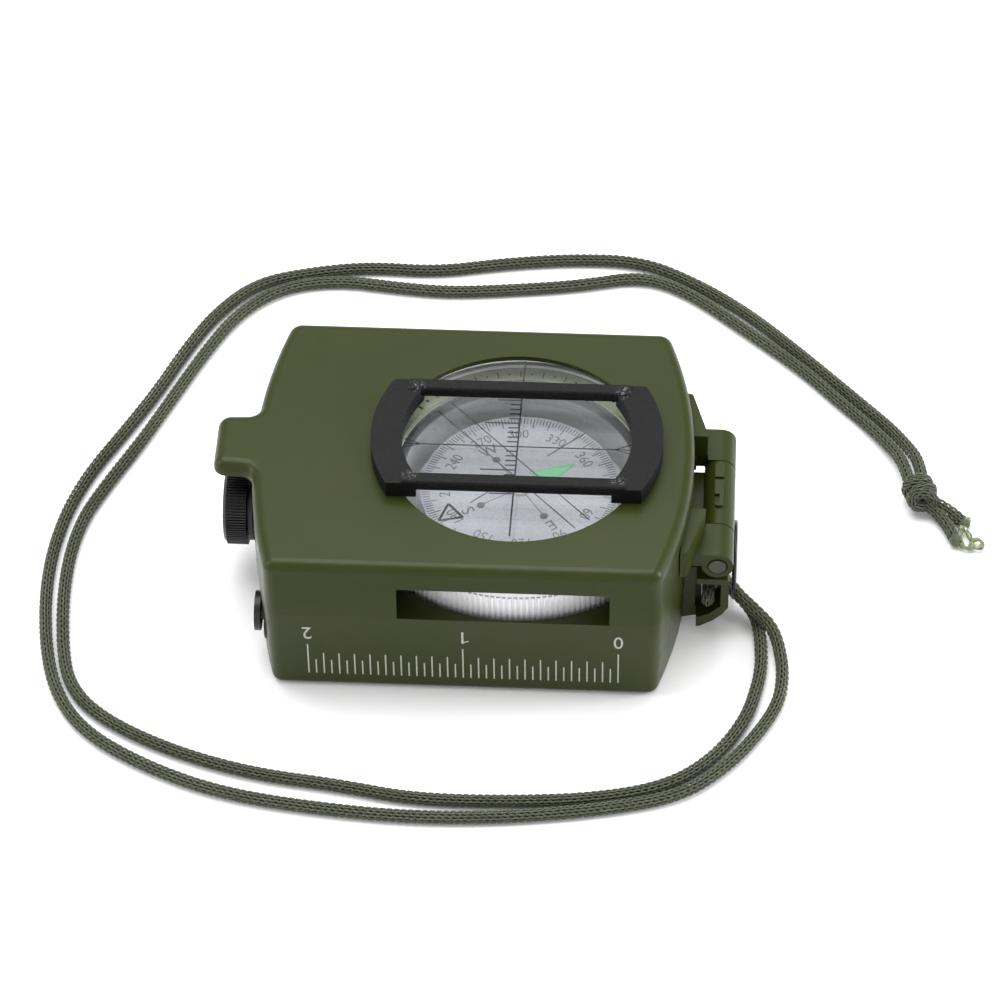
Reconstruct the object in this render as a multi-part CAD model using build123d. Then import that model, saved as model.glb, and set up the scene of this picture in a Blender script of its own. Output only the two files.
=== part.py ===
from build123d import *
import os
from math import cos, pi, radians, sin, tan

# Folding prismatic field compass, millimetres. Drawn about the middle of its case: X along the case
# (thumb tab at -X, hinge at +X), Y across it (ruled side at -Y), Z up from the surface it lies on.
# SHIFT then moves the drawing so that the origin is under the middle of the overall length.
SHIFT = Pos(-0.7, 0, 0)

# Case outline: straight long sides, bowed ends, small corner radii
HALF_W = 28.4
CORNER_X = 31.8
LEFT_X = -35.9
RIGHT_X = 36.7
CORNER_R = 2.4
BASE_H = 17.4
TOTAL_H = 29.0
BASE_TAPER = 2.0
LID_WALL = 1.3
BASE_WALL = 2.2
COVER_T = 1.4
DECK_LOW = 11.8
DECK_TOP = 14.3

# Hinge barrel along Y
HINGE_X = 41.0
BARREL_R = 2.6
BARREL_HALF = 14.5
MID_HALF = 7.15
OUTER_FROM = 7.35
PIN_R = 1.45

# Dial: everything that turns about this vertical axis
DIAL_X = 7.95
BEZEL_R = 27.1
BEZEL_TOP = 24.4
KNURL_COUNT = 180
KNURL_DEPTH = 0.3
CUP_R = 21.6
BOWL_R = 20.5
BOWL_BORE = 19.3
CARD_R = 16.6
CARD_Z = 17.8

# Lid window and the sight frame over it
WINDOW_X = 7.5
WINDOW_R = 21.3
GLASS_R = 22.6
FRAME_OUT = 24.0
FRAME_IN = 18.95
FRAME_HALF = 12.0
BAR_W = 2.4
FRAME_Z = 32.1
BAR_Z = 32.5
BAR_LOW = 30.7

# Eyepiece, axis along X
EYE_Z = 13.5
FOCUS_R = 6.75
FOCUS_RIBS = 84

# Transit lock button in the left end
LOCK_Y = -20.0
LOCK_Z = 9.2

# Lanyard cord
CORD_D = 2.1

nodes = {}


def outline(inset, z):
    """The case outline drawn in by inset, as a face at height z."""
    cx = CORNER_X - inset
    hy = HALF_W - inset
    lines = Line((-cx, -hy), (cx, -hy))
    lines += ThreePointArc((cx, -hy), (RIGHT_X - inset, 0), (cx, hy))
    lines += Line((cx, hy), (-cx, hy))
    lines += ThreePointArc((-cx, hy), (LEFT_X + inset, 0), (-cx, -hy))
    face = make_face(lines)
    return Pos(0, 0, z) * fillet(face.vertices(), max(CORNER_R - inset, 0.6))


def tube(r_out, r_in, z0, z1):
    """A plain ring about Z."""
    ring = Cylinder(r_out, z1 - z0) - Cylinder(r_in, z1 - z0)
    return Pos(0, 0, (z0 + z1) / 2) * ring


def disc(r, z0, z1):
    return Pos(0, 0, (z0 + z1) / 2) * Cylinder(r, z1 - z0)


def along_x(r, x0, x1, y, z):
    """A cylinder along X between x0 and x1."""
    return Pos((x0 + x1) / 2, y, z) * Rot(0, 90, 0) * Cylinder(r, x1 - x0)


def along_y(r, y0, y1, x, z):
    """A cylinder along Y between y0 and y1."""
    return Pos(x, (y0 + y1) / 2, z) * Rot(90, 0, 0) * Cylinder(r, y1 - y0)


def block(x0, x1, y0, y1, z0, z1):
    centre = Pos((x0 + x1) / 2, (y0 + y1) / 2, (z0 + z1) / 2)
    return centre * Box(x1 - x0, y1 - y0, z1 - z0)


def turned(points):
    """A solid of revolution about Z from (radius, height) points."""
    outline_rz = make_face(Plane.XZ * Polyline(*points, close=True))
    return revolve(outline_rz, Axis.Z)


def ribbed(r_out, depth, count, height):
    """A prism with straight ribs round it, standing on z = 0."""
    points = []
    for i in range(count):
        for share, r in ((0.00, r_out - depth), (0.22, r_out - depth), (0.42, r_out), (0.80, r_out)):
            a = 2 * pi * (i + share) / count
            points.append((r * cos(a), r * sin(a)))
    return extrude(make_face(Polyline(*points, close=True)), height)


def xz_prism(points, y0, y1):
    """A prism along Y from (x, z) points."""
    section = make_face(Plane.XZ * Polyline(*points, close=True))
    return Pos(0, y0, 0) * extrude(section, y1 - y0, dir=(0, 1, 0))


# ---------------------------------------------------------------- base casing
base = extrude(outline(0, BASE_H), BASE_H, dir=(0, 0, -1), taper=BASE_TAPER)
base = fillet(base.edges().group_by(Axis.Z)[0], 1.4)
cavity = extrude(outline(BASE_WALL + 0.6, 0), DECK_LOW)
base -= cavity
screw_spots = [(sx * 23.4, sy * 22.2) for sx in (-1, 1) for sy in (-1, 1)]
for sx, sy in screw_spots:
    base += Pos(sx, sy, 0) * disc(2.9, COVER_T, DECK_LOW + 0.5)
    base -= Pos(sx, sy, 0) * disc(1.0, 0, 7.6)
dial_pocket = disc(27.4, DECK_TOP, BASE_H + 1)
dial_pocket += Pos(0, 0, BASE_H - 0.5) * Cone(27.4, 28.0, 1.0)
dial_pocket += disc(CUP_R + 0.08, DECK_LOW - 1, BASE_H)
base -= Pos(DIAL_X, 0, 0) * dial_pocket
# well for the prism and its way to the eyepiece, in the deck at the left end
base -= block(-33.2, -21.4, -4.3, 4.3, 8.0, BASE_H + 1)
base -= along_x(3.2, -38, -32, 0, EYE_Z)
for py in (-5.8, 5.8):
    base -= Pos(-27.2, py, 0) * disc(0.5, 13.8, BASE_H + 1)
# bored boss for the transit lock button
base += along_x(4.6, -33.0, -28.6, LOCK_Y, LOCK_Z)
base -= along_x(3.6, -38, -31.6, LOCK_Y, LOCK_Z)
base -= along_x(1.55, -33, -28, LOCK_Y, LOCK_Z)
# pocket for the round level
LEVEL_SPOT = (-25.5, 16.0)
base -= Pos(LEVEL_SPOT[0], LEVEL_SPOT[1], 0) * disc(4.6, 13.6, BASE_H + 1)
# middle hinge knuckle on its web, with the raised pad along its top
knuckle = along_y(BARREL_R, -MID_HALF, MID_HALF, HINGE_X, BASE_H)
web = xz_prism([(33.5, 11.5), (36.0, 11.5), (HINGE_X, BASE_H - 2.5), (HINGE_X, BASE_H - 0.4),
                (38.6, 17.1), (33.5, 17.1)], -MID_HALF, MID_HALF)
pad = block(40.2, 41.7, -3.6, 6.2, BASE_H + 1, 20.5)
pad = fillet(pad.edges().filter_by(Axis.Z), 0.6)
pad -= block(40.0, 42.0, 2.3, 3.0, 20.1, 21.0)
pad -= block(40.0, 41.0, -3.2, -0.9, 19.9, 21.0)
base += (web - Pos(DIAL_X, 0, 0) * disc(27.7, 10, 20)) + knuckle + pad
base -= along_y(PIN_R + 0.03, -MID_HALF - 1, MID_HALF + 1, HINGE_X, BASE_H)
nodes["base_casing"] = base

# ---------------------------------------------------------------- underside
BUSH_R = 4.2
SOCKET_R = 2.6
cover = extrude(outline(BASE_WALL + 0.75, 0), COVER_T)
cover += disc(6.2, 0, 7.6)
cover -= disc(BUSH_R, -1, 6.8)
for sx, sy in screw_spots:
    cover -= Pos(sx, sy, 0) * (disc(1.05, -1, 3) + Pos(0, 0, 0.5) * Cone(2.1, 1.05, 1.0))
nodes["base_cover"] = cover

bush = disc(BUSH_R, 0.1, 6.8) - disc(SOCKET_R, -1, 6.2)
nodes["tripod_bush"] = bush

screws = []
for sx, sy in screw_spots:
    screw = turned([(0, 0.1), (1.95, 0.1), (1.0, 1.0), (1.0, 7.4), (0, 7.4)])
    screw -= block(-1.6, 1.6, -0.2, 0.2, 0, 0.55)
    screws.append((Pos(sx, sy, 0) * screw).solid())
nodes["cover_screws"] = Compound(screws)

# ---------------------------------------------------------------- lanyard lug
# A cast loop under the front of the hinge; its eye runs along Y.
LUG_FRONT = -14.2
LUG_BACK = -9.4
lug = xz_prism([(35.2, 1.8), (38.4, 2.6), (40.4, 3.9), (41.9, 5.4), (43.0, 7.2), (43.0, 13.9),
                (35.2, 13.9)], LUG_FRONT, LUG_BACK)
eye = xz_prism([(37.5, 4.5), (39.6, 5.4), (41.7, 7.4), (41.7, 12.7), (37.5, 12.7)],
               LUG_FRONT - 1, LUG_BACK + 1)
lug -= eye
# the front of its left post is cut back, and a thin web closes the eye at its back left
lug -= block(34.0, 37.7, LUG_FRONT - 1, -11.6, 0, 20)
lug += block(37.2, 38.5, LUG_BACK - 1.0, LUG_BACK, 5.2, 12.9)
lug = fillet(lug.edges().filter_by(Axis.Y).sort_by(Axis.X)[-2:], 0.5)
lug -= base
nodes["lanyard_lug"] = lug.solids().sort_by(SortBy.VOLUME)[-1]

# ---------------------------------------------------------------- bezel and capsule
washer = tube(26.4, CUP_R + 0.3, DECK_TOP, 14.6)
nodes["bezel_washer"] = Pos(DIAL_X, 0, 0) * washer

knurl = Pos(0, 0, 14.6) * ribbed(BEZEL_R, KNURL_DEPTH, KNURL_COUNT, 7.0)
slope = turned([(0, 21.6), (26.8, 21.6), (26.4, 22.7), (25.6, 23.6), (24.4, BEZEL_TOP), (0, BEZEL_TOP)])
bezel = knurl + slope
bezel -= disc(CUP_R, 14, BEZEL_TOP - 1.6)
bezel -= disc(23.6, BEZEL_TOP - 1.6, BEZEL_TOP + 1)
nodes["bezel_ring"] = Pos(DIAL_X, 0, 0) * bezel

nodes["scale_ring"] = Pos(DIAL_X, 0, 0) * tube(23.6, 20.7, BEZEL_TOP - 1.6, BEZEL_TOP - 0.6)

CLIP_R = CUP_R - 0.65
cup = turned([(0, 10.4), (CUP_R, 10.4), (CUP_R, 10.9), (CLIP_R, 10.9), (CLIP_R, 11.5), (CUP_R, 11.5),
              (CUP_R, 22.7), (BOWL_R, 22.7), (BOWL_R, 11.6), (0, 11.6)])
nodes["capsule_cup"] = Pos(DIAL_X, 0, 0) * cup

circlip = tube(CUP_R + 1.45, CLIP_R, 10.95, 11.45) - block(18, 25, -1.2, 1.2, 10, 12)
nodes["capsule_circlip"] = Pos(DIAL_X, 0, 0) * circlip

bowl = turned([(0, 11.6), (BOWL_R, 11.6), (BOWL_R, 20.9), (BOWL_BORE, 20.9), (BOWL_BORE, 12.8), (0, 12.8)])
bowl -= disc(1.4, 11, 13)
nodes["capsule_bowl"] = Pos(DIAL_X, 0, 0) * bowl

nodes["capsule_gasket"] = Pos(DIAL_X, 0, 0) * tube(BOWL_R, BOWL_BORE, 20.9, 21.2)

nodes["capsule_crystal"] = Pos(DIAL_X, 0, 0) * disc(BOWL_R - 0.1, 21.2, 23.1)

pivot = turned([(0, 11.6), (1.4, 11.6), (1.4, 13.6), (0.8, 14.2), (0.8, CARD_Z - 2.1),
                (0.06, CARD_Z + 0.2), (0, CARD_Z + 0.2)])
nodes["pivot_pin"] = Pos(DIAL_X, 0, 0) * pivot

card = disc(CARD_R, CARD_Z, CARD_Z + 0.4) - disc(1.3, 17, 20)
nodes["compass_card"] = Pos(DIAL_X, 0, 0) * card

# The needle magnet lies under the card along its north line.
NORTH_DEG = 31.0
magnet = block(-12.5, 12.5, -1.9, 1.9, CARD_Z - 1.8, CARD_Z) - disc(1.3, 15, 20)
nodes["card_magnet"] = Pos(DIAL_X, 0, 0) * Rot(0, 0, NORTH_DEG) * magnet

jewel = turned([(0, CARD_Z + 0.25), (0.9, CARD_Z - 1.8), (1.3, CARD_Z - 1.8), (1.3, CARD_Z + 0.4),
                (1.75, CARD_Z + 0.4), (1.75, CARD_Z + 0.8), (0.9, CARD_Z + 1.3), (0, CARD_Z + 1.3)])
nodes["card_jewel"] = Pos(DIAL_X, 0, 0) * jewel

# ---------------------------------------------------------------- round level
level_x, level_y = LEVEL_SPOT
nodes["level_cup"] = Pos(level_x, level_y, 0) * (disc(4.6, 13.6, 18.0) - disc(3.8, 14.2, 19))
nodes["level_vial"] = Pos(level_x, level_y, 0) * disc(3.8, 14.2, 17.7)

# ---------------------------------------------------------------- eyepiece and prism
tube_body = along_x(3.2, -36.3, -32.0, 0, EYE_Z)
tube_body += along_x(6.0, -36.9, -36.3, 0, EYE_Z)
tube_body += along_x(4.5, -40.6, -36.9, 0, EYE_Z)
tube_body -= along_x(3.6, -41, -37.1, 0, EYE_Z)
tube_body -= along_x(2.5, -41, -31, 0, EYE_Z)
nodes["eyepiece_tube"] = tube_body

cell = along_x(3.55, -40.0, -37.7, 0, EYE_Z) - along_x(3.05, -41, -38.0, 0, EYE_Z)
cell -= along_x(2.6, -41, -37, 0, EYE_Z)
nodes["lens_cell"] = cell

LENS_SPHERE = 8.05
lens = along_x(3.05, -1, 1, 0, 0)
lens &= Pos(LENS_SPHERE - 0.9, 0, 0) * Sphere(LENS_SPHERE)
lens &= Pos(0.9 - LENS_SPHERE, 0, 0) * Sphere(LENS_SPHERE)
nodes["eyepiece_lens"] = Pos(-38.95, 0, EYE_Z) * lens

focus = ribbed(FOCUS_R, 0.28, FOCUS_RIBS, 3.4)
focus += disc(FOCUS_R - 0.28, 3.4, 3.9)
focus = chamfer(focus.edges().group_by(Axis.Z)[-1], 0.45)
focus -= disc(4.53, -1, 3.4)
focus -= disc(3.0, -1, 5)
nodes["focus_ring"] = Pos(-37.3, 0, EYE_Z) * Rot(0, -90, 0) * focus

# Rhomboid sighting prism: looks from the eyepiece over the bezel, under the closed lid
PRISM_HALF = 2.8
prism = xz_prism([(-30.4, 10.8), (-30.4, 21.4), (-24.9, 26.9), (-24.9, 16.3)], -PRISM_HALF, PRISM_HALF)
nodes["sighting_prism"] = prism

holder = xz_prism([(-31.9, 9.6), (-23.4, 9.6), (-23.4, 18.4), (-24.5, 19.5), (-31.9, 19.5)], -4.1, 4.1)
holder += block(-31.0, -23.4, -7.4, 7.4, BASE_H, 18.4)
holder -= prism
holder -= along_x(2.5, -33, -30, 0, EYE_Z)
prism_screw_spots = [(-27.2, -5.8), (-27.2, 5.8)]
for px, py in prism_screw_spots:
    holder -= Pos(px, py, 0) * disc(0.5, 17, 19)
nodes["prism_holder"] = holder

nodes["prism_screws"] = Compound([(Pos(px, py, 0) * (
    disc(0.95, 18.4, 19.0) + disc(0.5, 14.0, 18.4))).solid() for px, py in prism_screw_spots])

# ---------------------------------------------------------------- transit lock
button = along_x(3.3, -34.75, -33.75, LOCK_Y, LOCK_Z) + along_x(1.5, -33.75, -27.6, LOCK_Y, LOCK_Z)
nodes["lock_button"] = button
clip = along_x(2.4, -28.5, -28.0, LOCK_Y, LOCK_Z) - along_x(1.5, -29, -27, LOCK_Y, LOCK_Z)
nodes["lock_clip"] = clip
coil = along_x(2.7, -33.1, -31.6, LOCK_Y, LOCK_Z) - along_x(1.8, -34, -31, LOCK_Y, LOCK_Z)
nodes["lock_spring"] = coil

# ---------------------------------------------------------------- lid
TAB_X = -42.2
TAB_HALF = 6.4
TAB_T = 2.6
top_face = outline(0, 0) + make_face(Polyline((-34, -TAB_HALF), (TAB_X, -TAB_HALF + 0.4),
                                              (TAB_X, TAB_HALF - 0.4), (-34, TAB_HALF), close=True))
tab_tips = top_face.vertices().group_by(Axis.X)[0]
tab_roots = [v for v in top_face.vertices() if v.X > -36.5 and abs(abs(v.Y) - TAB_HALF) < 0.4]
top_face = fillet(list(tab_tips) + tab_roots, 2.1)
lid = Pos(0, 0, BASE_H) * extrude(outline(0, 0), TOTAL_H - BASE_H)
lid += Pos(0, 0, TOTAL_H - TAB_T) * extrude(top_face, TAB_T)
lid = fillet(lid.edges().group_by(Axis.Z)[-1], 1.9)
lid -= extrude(outline(LID_WALL, BASE_H - 1), TOTAL_H - LID_WALL - BASE_H + 1)
boss = tube(24.6, GLASS_R, 26.9, TOTAL_H - LID_WALL + 0.2)
lid += Pos(WINDOW_X, 0, 0) * boss
lid -= Pos(WINDOW_X, 0, 0) * disc(WINDOW_R, 25, 30)
lid -= Pos(WINDOW_X, 0, 0) * disc(GLASS_R, 25, TOTAL_H - 0.8)
SLOT = (-10.7, 23.8)
SLOT_TOP = 24.3
lid -= block(SLOT[0], SLOT[1], -30, -24.0, BASE_H - 1, SLOT_TOP)
lid -= block(SLOT[0], SLOT[1], 24.0, 30, BASE_H - 1, SLOT_TOP)
# hinge side: a gusset, a web and an outer knuckle on each side of the middle knuckle
for side in (-1, 1):
    gusset = make_face(Polyline((34.9, side * 18.4), (36.1, side * 18.1), (38.8, side * 8.9),
                                (38.8, side * 8.3), (35.9, side * 8.3), close=True))
    lid += Pos(0, 0, 18.7) * extrude(gusset, 24.5 - 18.7)
    ends = sorted((side * OUTER_FROM, side * BARREL_HALF))
    arm = xz_prism([(35.0, BASE_H), (HINGE_X, BASE_H), (HINGE_X, BASE_H + BARREL_R),
                    (35.0, BASE_H + BARREL_R)], ends[0], ends[1])
    lid += arm
    lid += along_y(BARREL_R, ends[0], ends[1], HINGE_X, BASE_H)
lid -= block(37.0, 38.9, -8.3, 8.3, BASE_H - 1, 30)
lid -= along_y(PIN_R, -20, 20, HINGE_X, BASE_H)
# countersunk mouth round the pin's ends
for side in (-1, 1):
    ends = sorted((side * (BARREL_HALF - 0.6), side * 20))
    lid -= along_y(PIN_R + 0.25, ends[0], ends[1], HINGE_X, BASE_H)
lid -= extrude(outline(LID_WALL, BASE_H - 1), TOTAL_H - 2.8 - BASE_H + 1)
frame_spots = [(23.2 * cos(radians(a)), 23.2 * sin(radians(a))) for a in (20, 160, 200, 340)]
for fx, fy in frame_spots:
    lid -= Pos(WINDOW_X + fx, fy, 0) * disc(0.5, 25, 30)
nodes["lid"] = lid

nodes["lid_window"] = Pos(WINDOW_X, 0, 0) * disc(GLASS_R, 27.4, TOTAL_H - 0.8)
nodes["window_retainer"] = Pos(WINDOW_X, 0, 0) * tube(GLASS_R, 22.1, 26.9, 27.4)

# ---------------------------------------------------------------- sight frame
blocks = tube(FRAME_OUT, FRAME_IN, TOTAL_H, FRAME_Z)
blocks &= block(-30, 30, -FRAME_HALF, FRAME_HALF, 28, 34)
blocks -= block(-15.9, 15.9, -30, 30, 28, 34)
bars = block(-18.3, 18.3, FRAME_HALF - BAR_W, FRAME_HALF, BAR_LOW, BAR_Z)
bars += block(-18.3, 18.3, -FRAME_HALF, -FRAME_HALF + BAR_W, BAR_LOW, BAR_Z)
sight = blocks + bars
sight = chamfer(sight.edges().filter_by(Axis.X).group_by(Axis.Z)[-1], 0.25)
for fx, fy in frame_spots:
    sight -= Pos(fx, fy, 0) * disc(0.5, 28, 31.2)
nodes["sight_frame"] = Pos(WINDOW_X, 0, 0) * sight

nodes["frame_screws"] = Compound([(Pos(WINDOW_X + fx, fy, 0) * (
    disc(0.5, 26.9, 31.2) + disc(0.95, 26.4, 26.9))).solid() for fx, fy in frame_spots])

# ---------------------------------------------------------------- hinge pin and washers
nodes["hinge_pin"] = along_y(PIN_R, -BARREL_HALF - 0.15, BARREL_HALF + 0.15, HINGE_X, BASE_H)
washers = []
for side in (-1, 1):
    ends = sorted((side * MID_HALF, side * OUTER_FROM))
    ring = along_y(BARREL_R - 0.2, ends[0], ends[1], HINGE_X, BASE_H)
    washers.append((ring - along_y(PIN_R, -20, 20, HINGE_X, BASE_H)).solid())
nodes["hinge_washers"] = Compound(washers)

# ---------------------------------------------------------------- lanyard
# Two strands of one braided cord. They start in the lug's eye, pass behind its outer bar, drop to the
# surface and run round the case to an overhand knot. Route points (x, y, z).
Z_LIE = CORD_D / 2
STRAND_A = [
    (39.6, -12.0, 9.4), (39.6, -9.9, 9.4), (40.3, -7.9, 8.6), (41.8, -7.1, 7.2), (43.4, -7.9, 5.8),
    (44.9, -9.2, 4.7), (46.6, -10.6, 4.1), (48.2, -12.0, 3.5), (49.9, -13.4, 2.7), (51.1, -15.4, 1.8),
    (51.9, -18.6, 1.2), (52.4, -23.0, Z_LIE), (51.8, -29.2, Z_LIE), (48.7, -35.8, Z_LIE),
    (43.8, -43.1, Z_LIE), (36.4, -49.9, Z_LIE), (25.2, -53.1, Z_LIE), (10.0, -55.6, Z_LIE),
    (-6.0, -56.5, Z_LIE), (-22.1, -55.3, Z_LIE), (-38.2, -52.7, Z_LIE), (-51.0, -47.5, Z_LIE),
    (-61.5, -40.7, Z_LIE), (-67.1, -32.4, Z_LIE), (-70.1, -21.4, Z_LIE), (-71.6, -7.0, Z_LIE),
    (-70.6, 6.0, Z_LIE), (-67.4, 17.3, Z_LIE), (-61.8, 28.8, Z_LIE), (-57.3, 38.6, Z_LIE),
    (-53.8, 48.0, Z_LIE), (-49.2, 58.1, Z_LIE), (-42.5, 66.3, Z_LIE), (-32.9, 69.5, Z_LIE),
    (-22.5, 71.4, Z_LIE), (-10.4, 70.7, Z_LIE), (1.7, 73.4, Z_LIE), (14.1, 75.0, Z_LIE),
    (25.8, 74.9, Z_LIE), (35.0, 70.2, Z_LIE), (45.1, 62.5, Z_LIE), (55.5, 51.4, Z_LIE),
    (65.0, 40.7, Z_LIE), (70.1, 34.9, 1.1), (73.0, 29.9, 1.9), (75.2, 25.0, 2.8), (75.7, 19.2, 3.1)]
STRAND_B = [
    (39.6, -12.0, 7.25), (39.6, -9.9, 7.25), (40.3, -7.8, 6.4), (41.7, -6.5, 5.0), (43.4, -6.6, 3.7),
    (44.9, -7.4, 2.7), (46.3, -8.7, 2.0), (47.5, -10.4, 1.4), (48.2, -12.7, 1.1), (48.6, -16.0, Z_LIE),
    (48.8, -20.6, Z_LIE), (48.3, -25.4, Z_LIE), (46.4, -33.3, Z_LIE), (41.3, -42.0, Z_LIE),
    (33.8, -48.2, Z_LIE), (22.2, -51.3, Z_LIE), (8.0, -52.5, Z_LIE), (-7.0, -52.6, Z_LIE),
    (-19.1, -50.2, Z_LIE), (-33.1, -48.4, Z_LIE), (-46.4, -44.3, Z_LIE), (-58.1, -38.2, Z_LIE),
    (-64.6, -31.6, Z_LIE), (-67.1, -22.7, Z_LIE), (-68.6, -7.0, Z_LIE), (-67.5, 6.1, Z_LIE),
    (-63.6, 16.0, Z_LIE), (-58.7, 26.5, Z_LIE), (-54.7, 36.6, Z_LIE), (-50.4, 47.5, Z_LIE),
    (-45.3, 58.3, Z_LIE), (-38.0, 65.4, Z_LIE), (-28.0, 67.8, Z_LIE), (-17.9, 66.4, Z_LIE),
    (-8.0, 65.5, Z_LIE), (4.0, 66.7, Z_LIE), (15.1, 68.2, Z_LIE), (26.2, 71.2, Z_LIE),
    (34.6, 67.3, Z_LIE), (43.4, 59.4, Z_LIE), (53.7, 48.3, Z_LIE), (59.8, 41.0, Z_LIE),
    (65.6, 35.4, Z_LIE), (69.6, 30.2, 1.4), (72.2, 25.2, 2.3), (73.5, 19.0, 3.0)]


def cord_tube(points, name):
    """A round cord along straight runs joined by tangent arcs as large as the runs allow."""
    stops = [Vector(*p) for p in points]
    radii = []
    for before, here, after in zip(stops, stops[1:], stops[2:]):
        turn = (here - before).get_angle(after - here)
        shorter = min((here - before).length, (after - here).length)
        radii.append(0.45 * shorter / tan(radians(turn) / 2))
    path = FilletPolyline(*stops, radius=radii)
    section = Plane(path @ 0, z_dir=path % 0) * Circle(CORD_D / 2)
    solid = sweep(section, path=path)
    ideal = pi * CORD_D ** 2 / 4 * path.length
    print(name, "length", round(path.length, 1), "volume ratio", round(solid.volume / ideal, 4),
          "radii", [round(r, 1) for r in radii])
    return solid


nodes["lanyard_strand_a"] = cord_tube(STRAND_A, "strand a")
nodes["lanyard_strand_b"] = cord_tube(STRAND_B, "strand b")

# the fold of the cord inside the eye
FOLD_R = (STRAND_A[0][2] - STRAND_B[0][2]) / 2
fold = Torus(FOLD_R, CORD_D / 2) & block(-4, 4, -4, 0, -4, 4)
fold_z = (STRAND_A[0][2] + STRAND_B[0][2]) / 2
nodes["lanyard_fold"] = Pos(STRAND_A[0][0], STRAND_A[0][1], fold_z) * Rot(0, 90, 0) * fold

# overhand knot, as the closed outer shape of its wraps
knot = turned([(0, -2.3), (1.5, -2.3), (2.4, -2.05), (2.9, -1.4), (2.65, -0.8), (3.0, -0.2), (3.0, 0.6),
               (2.65, 1.0), (2.8, 1.5), (2.4, 2.05), (1.5, 2.3), (0, 2.3)])
nodes["lanyard_knot"] = Pos(75.2, 17.6, 3.0) * Rot(0, 0, 17) * Rot(90, 0, 0) * knot


def tail(points):
    """A cut end of the cord past the knot, with the bead that the flame left on it."""
    path = FilletPolyline(*points, radius=2.5)
    section = Plane(path @ 0, z_dir=path % 0) * Circle(CORD_D / 2)
    return (sweep(section, path=path) + Pos(path @ 1) * Sphere(CORD_D / 2 + 0.1)).solid()


Z_BEAD = CORD_D / 2 + 0.1
TAILS = [[(76.7, 16.4, 2.7), (79.2, 15.7, 1.7), (81.3, 14.2, Z_BEAD), (82.5, 12.7, Z_BEAD)],
         [(75.8, 16.0, 2.4), (77.6, 14.8, 1.5), (79.2, 12.2, Z_BEAD), (80.2, 9.7, Z_BEAD)]]
nodes["lanyard_tails"] = Compound([tail(points) for points in TAILS])

# thin split ring threaded on both strands, standing against the hinge
nodes["lanyard_ring"] = Pos(43.85, -4.1, 8.1) * Rot(0, 90, 0) * Torus(6.3, 0.35)

# ---------------------------------------------------------------- write every node
os.makedirs("parts", exist_ok=True)
for name, shape in nodes.items():
    export_step(SHIFT * shape, "parts/" + name + ".step")
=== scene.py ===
"""Folding prismatic field compass with its knitted lanyard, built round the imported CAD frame.

Lengths in this file are millimetres in the row frame unless a name ends in _M. MM turns them into metres."""

import math

import bpy
import numpy as np
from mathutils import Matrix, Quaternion, Vector


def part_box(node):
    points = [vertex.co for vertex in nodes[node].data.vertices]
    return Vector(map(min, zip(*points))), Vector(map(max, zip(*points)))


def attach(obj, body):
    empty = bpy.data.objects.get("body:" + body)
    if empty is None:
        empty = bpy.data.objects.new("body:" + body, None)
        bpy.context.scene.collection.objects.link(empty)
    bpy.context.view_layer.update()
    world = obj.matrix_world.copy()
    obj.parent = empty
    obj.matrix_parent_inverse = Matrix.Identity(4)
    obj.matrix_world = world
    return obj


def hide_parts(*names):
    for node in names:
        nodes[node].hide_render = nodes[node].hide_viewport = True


MM = 0.001

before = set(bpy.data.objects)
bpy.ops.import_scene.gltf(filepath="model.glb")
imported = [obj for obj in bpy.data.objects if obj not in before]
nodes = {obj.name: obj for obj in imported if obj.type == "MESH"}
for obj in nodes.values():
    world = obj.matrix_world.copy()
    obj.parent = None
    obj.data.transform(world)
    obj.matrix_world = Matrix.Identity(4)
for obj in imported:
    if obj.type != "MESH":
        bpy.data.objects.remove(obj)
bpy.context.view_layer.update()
scene = bpy.context.scene


# ------------------------------------------------------------------ camera
def make_camera():
    """A long lens looking down on the ruled side from the front."""
    target = Vector((0.0039, 0.0012, 0.015))
    distance_m = 0.8014
    azimuth, elevation, roll = (math.radians(a) for a in (-3.468, 46.161, -0.692))
    look = Vector((math.sin(azimuth) * math.cos(elevation),
                   math.cos(azimuth) * math.cos(elevation),
                   -math.sin(elevation)))
    data = bpy.data.cameras.new("camera")
    data.lens = 173.0
    data.sensor_width = 36.0
    data.clip_start = 0.05
    data.clip_end = 20.0
    camera = bpy.data.objects.new("camera", data)
    camera.rotation_mode = "QUATERNION"
    camera.rotation_quaternion = (look.to_track_quat("-Z", "Y")
                                  @ Quaternion((0.0, 0.0, 1.0), roll))
    camera.location = target - distance_m * look
    scene.collection.objects.link(camera)
    scene.camera = camera


make_camera()


# ------------------------------------------------------------------ mesh helpers
def mesh_object(name, verts, faces, body, material, smooth=False):
    """A piece from verts in millimetres."""
    mesh = bpy.data.meshes.new(name)
    mesh.from_pydata([(x * MM, y * MM, z * MM) for x, y, z in verts], [], faces)
    mesh.update()
    if smooth:
        mesh.polygons.foreach_set("use_smooth", [True] * len(mesh.polygons))
    mesh.materials.append(material)
    piece = bpy.data.objects.new(name, mesh)
    scene.collection.objects.link(piece)
    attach(piece, body)
    return piece


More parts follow.
